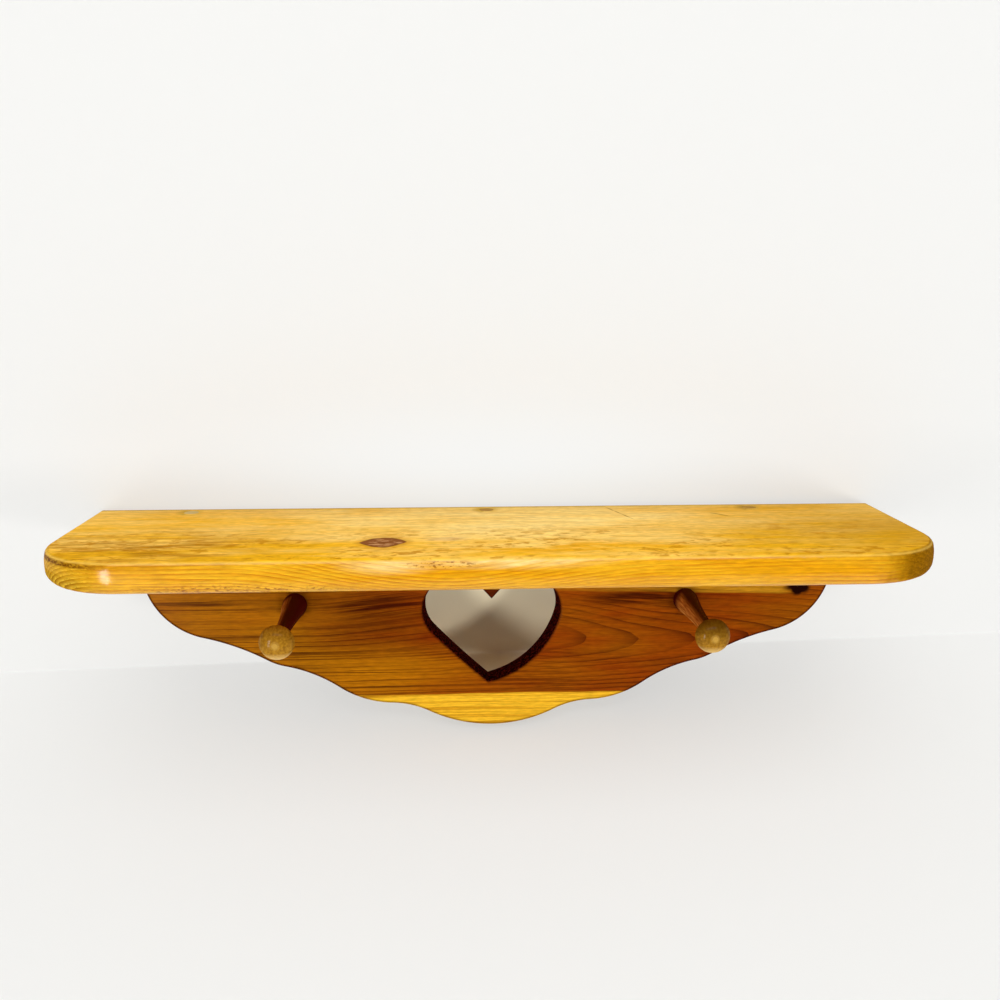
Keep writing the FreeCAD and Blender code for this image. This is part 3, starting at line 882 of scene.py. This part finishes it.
def heart_rings(steps):
    """Rings of the heart's wall, clockwise. Where they draw into the wood, both sides of the cleft meet on
    x = 0. The saw leaned, so a ring is narrower by a share that grows with its depth."""
    right = heart_half(heart_right_side_radius, -heart_tip_lean)
    left = heart_half(heart_left_side_radius, heart_tip_lean) * (-1, 1)
    points = loop(run([right, left[::-1]]))
    grid = rings(points, steps)
    side = np.where(np.arange(len(points)) < len(right), 1, -1)
    cleft = right[0, 1]
    crossed = (side * grid[..., 0] <= 0) & (grid[..., 1] > cleft - heart_ease)
    meeting = cleft + np.asarray(steps)[:, 0] / math.sin(heart_cleft_half_angle)
    grid[..., 0] = np.where(crossed, 0.0, grid[..., 0])
    grid[..., 1] = np.where(crossed, meeting[:, None], grid[..., 1])
    grid[..., 0] *= 1 - heart_saw_lean * grid[..., 2] / board_thickness
    return grid


def plate_seats():
    """Rims of the beds for both keyhole plates in the back, each with its pocket for a screw head."""
    seats = []
    for side in ("left", "right"):
        middle = middle_mm(side + "_keyhole_plate")[[0, 2]]
        bed = stadium(-seat_half_length, seat_half_length, seat_radius) + middle
        pocket = stadium(-seat_middle_rise, pocket_rise - seat_middle_rise, pocket_radius) + middle
        seats.append((bed, pocket))
    return seats


def mark_backboard(piece):
    """Mark the sawn edges for the backboard's material: where the surface turns away from both faces, and
    on a rim of the front. The mark is full by the heart, where it is partly painted shade, weaker
    elsewhere and weakest in sapwood."""
    rim = edge_ease + guard_ring / 2
    places = vertex_places(piece)
    facing = vertex_normals(piece)[:, 1]
    sawn = np.clip(1.3 * (1 - facing ** 2), 0, 1)
    front = places[:, 1] < board_face + 0.1
    gap = np.linalg.norm(places[front][:, None, [0, 2]] - board_outline()[None], axis=2).min(axis=1)
    sawn[front] = np.maximum(sawn[front], gap < rim)
    # Full by the heart, where the sawn walls' darkness is partly painted shade
    by_heart = np.abs(places[:, 0]) < heart_lobe_out + heart_lobe_radius + heart_ease
    by_heart &= places[:, 2] > underside - heart_tip_drop - heart_ease
    in_sapwood = places[:, 2] < sapwood_line
    mark(piece, "saw_edge", sawn * np.select([by_heart, in_sapwood], [1.0, 0.6], 0.9))


def make_backboard(material):
    """Scalloped board: eased front edges on outline and heart, peg holes, and plate seats behind."""
    wall = [(0.0, depth) for depth in np.linspace(heart_ease, board_thickness, edge_rings)]
    outer_steps = [(edge_ease + guard_ring, 0.0)] + round_steps(edge_ease, 5) + wall
    outer = rings(board_outline(), outer_steps, square=underside)
    inner = heart_rings([(heart_ease + guard_ring, 0.0)] + round_steps(heart_ease) + wall[1:])
    holes = [around(middle_mm(side + "_peg")[[0, 2]], tenon_hole_radius, 2 * math.pi, 0, 0.8)[:-1]
             for side in ("left", "right")]
    front_rims = [loop(outer[0, :, :2]), loop(inner[0, :, :2])]
    patches = [band(outer), band(inner), cap(front_rims + holes, 0.0)]
    for hole in holes:
        patches.append(band(rings(hole, [(0.0, 0.0), (0.0, tenon_hole_depth)])))
        patches.append(cap([hole], tenon_hole_depth))
    seats = plate_seats()
    back_rims = [outer[-1, :, :2], inner[-1, :, :2]] + [bed for bed, _ in seats]
    patches.append(turned_over(cap(back_rims, board_thickness)))
    bed_depth = board_thickness - seat_depth
    for bed, pocket in seats:
        patches.append(band(rings(bed, [(0.0, board_thickness), (0.0, bed_depth)])))
        patches.append(band(rings(pocket, [(0.0, bed_depth), (0.0, bed_depth - pocket_depth)])))
        patches.append(turned_over(cap([bed, pocket], bed_depth)))
        patches.append(turned_over(cap([pocket], bed_depth - pocket_depth)))
    placed = [(points[:, [0, 2, 1]] + (0, board_face, 0), faces) for points, faces in patches]
    mark_backboard(make_piece("backboard_wood", placed, material, "backboard"))


def peg_profile():
    """Radius and reach of the peg from tenon end to nub: chamfer, shoulder, collar, hollow taper, neck,
    rim, a cubic dome and a nub with a round edge."""
    dome_top = peg_reach - head_nub_rise
    rim = dome_top - head_dome
    rim_middle = peg_head_radius - head_rim_round
    cove = rim_middle - peg_neck_radius
    neck_end = rim - head_rim_round - cove
    base = np.array([peg_base_radius, peg_collar])
    neck = np.array([peg_neck_radius, neck_end])
    waist = (base + neck) / 2 - (peg_waist, 0)
    pull = 2 * waist - (base + neck) / 2
    t = np.linspace(0, 1, 30)[:, None]
    taper = base * (1 - t) ** 2 + 2 * pull * t * (1 - t) + neck * t ** 2
    hollow = around(np.array([rim_middle, neck_end]), cove, math.pi, math.pi / 2, 0.5)
    edge = around(np.array([rim_middle, rim]), head_rim_round, -math.pi / 2, 0, 0.2)
    quarter = 4 / 3 * (math.sqrt(2) - 1)
    poles = np.array([
        (peg_head_radius, rim),
        (peg_head_radius, rim + quarter * head_dome),
        (head_nub_radius + quarter * (peg_head_radius - head_nub_radius), dome_top),
        (head_nub_radius, dome_top),
    ])
    shares = np.concatenate([(1 - t) ** 3, 3 * t * (1 - t) ** 2, 3 * t ** 2 * (1 - t), t ** 3], axis=1)
    dome = shares @ poles
    nub = around(np.array([head_nub_radius - head_nub_round, peg_reach - head_nub_round]), head_nub_round,
                 0, math.pi / 2, 0.1)
    start = [(0.0, -tenon_length), (tenon_radius - tenon_chamfer, -tenon_length),
             (tenon_radius, -tenon_length + tenon_chamfer), (tenon_radius, 0.0), (peg_base_radius, 0.0)]
    return run([np.array(start), taper, hollow, edge, dome, nub, np.array([(0.0, peg_reach)])])


def make_turned(name, profile, centre, axis, material, replaced):
    """Surface of revolution: a profile of radius and reach swept round an axis through the centre."""
    turns = np.linspace(0, 2 * math.pi, turned_sides + 1)[:-1]
    one = np.roll(axis, 1)
    two = np.cross(axis, one)
    spokes = np.cos(turns)[:, None] * one + np.sin(turns)[:, None] * two
    grid = centre + profile[:, 1, None, None] * axis + profile[:, 0, None, None] * spokes[None]
    return make_piece(name, [turned_over(band(grid))], material, replaced)


def make_pegs(material):
    """Both pegs, their shoulders on the backboard's face. The mark of staining and painted shade slopes
    across the shank and is full at the board; the mark of the nub's painted highlight fades out just
    round the nub."""
    profile = peg_profile()
    forward = np.array([0.0, -1.0, 0.0])
    # How the staining and painted shade grow rightward and upward, and how strong they are in the middle
    stain_and_shade_slopes = {"left": (0.9, -0.1, 1.3), "right": (0.7, 0.7, 0.35)}
    for side, (rightward, upward, stain_and_shade_middle) in stain_and_shade_slopes.items():
        node = side + "_peg"
        centre = middle_mm(node)
        centre[1] = board_face
        piece = make_turned(node + "_wood", profile, centre, forward, material, node)
        across, depth, up = (vertex_places(piece) - centre).T
        # Darker towards one side of the shank: painted shade over the staining
        stain_and_shade_across = stain_and_shade_middle + (rightward * across + upward * up) / peg_neck_radius
        at_board = 1.6 + depth / 9.0
        mark(piece, "stain_and_shade", np.clip(np.maximum(stain_and_shade_across, at_board), 0, 1))
        # Painted highlight on the nub
        on_head = -depth > peg_reach - head_dome
        from_nub = np.hypot(across, up) / (1.15 * head_nub_radius)
        mark(piece, "nub", np.clip(1.5 - from_nub, 0, 0.8) * on_head)


def make_plugs():
    """Three plugs with softened rims, each cut from a different offcut."""
    looks = {
        "left": ("#dccb94", "#c4a660"),
        "middle": ("#cba056", "#8f6a30"),
        "right": ("#d0a651", "#906724"),
    }
    rim = 0.15
    for side, (light, dark) in looks.items():
        node = side + "_screw_plug"
        low, high = box_mm(node)
        radius = (high[0] - low[0]) / 2
        length = high[2] - low[2]
        flank = [(radius, 0.0), (radius, length - rim), (radius - rim, length)]
        profile = np.array([(0.0, 0.0)] + flank + [(0.0, length)])
        centre = middle_mm(node)
        centre[2] = low[2]
        make_turned(node + "_wood", profile, centre, np.array([0.0, 0.0, 1.0]),
                    plug_wood(side + "_plug_wood", light, dark), node)


def dress_hardware():
    """Give the steel nodes their plated finish."""
    plate = zinc_plate("zinc_plated_sheet", "#c9c8c2", "#a5a49d")
    screw = zinc_plate("zinc_plated_screw", "#bdbab0", "#8f8c82")
    for name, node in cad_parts.items():
        if name.endswith("_plate"):
            node.data.materials[0] = plate
        elif name.endswith("_screw"):
            node.data.materials[0] = screw


# Stage: a pale corner that leans as the shelf stands in it

room_up = np.array([-0.025, -0.399, 0.917])
room_up /= np.linalg.norm(room_up)
room_side = np.cross(room_up, [0.009, -0.917, -0.399])
room_side /= np.linalg.norm(room_side)
room_out = np.cross(room_side, room_up)


def make_stage():
    """Floor and wall as one bent sheet: straight, a small cove, straight, carried sideways. The shelf's
    top back left corner touches the wall and the backboard's bottom touches the floor."""
    heel = np.array([0.0, 0.0, board_low[2]])
    shoulder = np.array([shelf_low[0], 0.0, shelf_top])
    corner = shoulder + room_up * np.dot(heel - shoulder, room_up)
    cove = 1.5
    reach = 3000.0
    turn = np.linspace(0, math.pi / 2, 9)[:, None]
    bend = corner + room_out * cove * (1 - np.sin(turn)) + room_up * cove * (1 - np.cos(turn))
    path = np.concatenate([[corner + room_out * reach], bend, [corner + room_up * reach]])
    grid = path[:, None, :] + room_side * np.array([[-reach], [reach]])
    index = np.arange(len(path) * 2).reshape(-1, 2)
    faces = np.stack([index[:-1, 0], index[:-1, 1], index[1:, 1], index[1:, 0]], axis=1)
    mesh = bpy.data.meshes.new("pale_corner")
    mesh.from_pydata(grid.reshape(-1, 3) * MM, [], faces.tolist())
    mesh.shade_smooth()
    mesh.materials.append(stage_paint())
    stage = bpy.data.objects.new("pale_corner", mesh)
    bpy.context.scene.collection.objects.link(stage)


def add_softbox(name, side_degrees, rise_degrees, width, height, watts, glints=True):
    """Soft light aimed at the shelf, by its direction in the room: degrees to the right and upwards.
    One without glints isn't mirrored in the varnish."""
    distance = 1500.0
    light = bpy.data.lights.new(name, "AREA")
    light.shape = "RECTANGLE"
    light.size = width * MM
    light.size_y = height * MM
    light.energy = watts
    lamp = bpy.data.objects.new(name, light)
    side, rise = math.radians(side_degrees), math.radians(rise_degrees)
    level = room_out * math.cos(side) + room_side * math.sin(side)
    lamp.location = Vector((level * math.cos(rise) + room_up * math.sin(rise)) * distance * MM)
    lamp.rotation_euler = (-lamp.location).to_track_quat("-Z", "Y").to_euler()
    lamp.visible_glossy = glints
    bpy.context.scene.collection.objects.link(lamp)


def light_room():
    """Dim even surroundings, a broad light above, and two windows' worth of light from the sides."""
    world = bpy.data.worlds.new("pale_room")
    world.use_nodes = True
    sky = world.node_tree.nodes["Background"]
    sky.inputs["Color"].default_value = linear("#ffffff")
    sky.inputs["Strength"].default_value = 0.16
    bpy.context.scene.world = world
    add_softbox("left_window", -33.0, 12.0, 240.0, 640.0, 8.0)
    add_softbox("right_window", 35.0, 11.0, 240.0, 240.0, 7.5, glints=False)
    add_softbox("ceiling_light", 0.0, 78.0, 1400.0, 1400.0, 18.0)
    bpy.context.scene.view_settings.view_transform = "Standard"


def add_camera():
    """Camera at the photograph's viewpoint, for a square image."""
    lens = bpy.data.cameras.new("viewpoint")
    lens.sensor_width = 36.0
    lens.lens = 37.62
    camera = bpy.data.objects.new("viewpoint", lens)
    camera.location = mm(-25.92, -683.05, 187.67)
    down, rightward = math.radians(11.343), math.radians(2.706)
    camera.rotation_euler = (math.pi / 2 - down, 0.0, -rightward)
    bpy.context.scene.collection.objects.link(camera)
    bpy.context.scene.camera = camera


make_shelf_board(shelf_pine())
make_backboard(backboard_pine())
make_pegs(peg_birch())
make_plugs()
dress_hardware()
make_stage()
light_room()
add_camera()
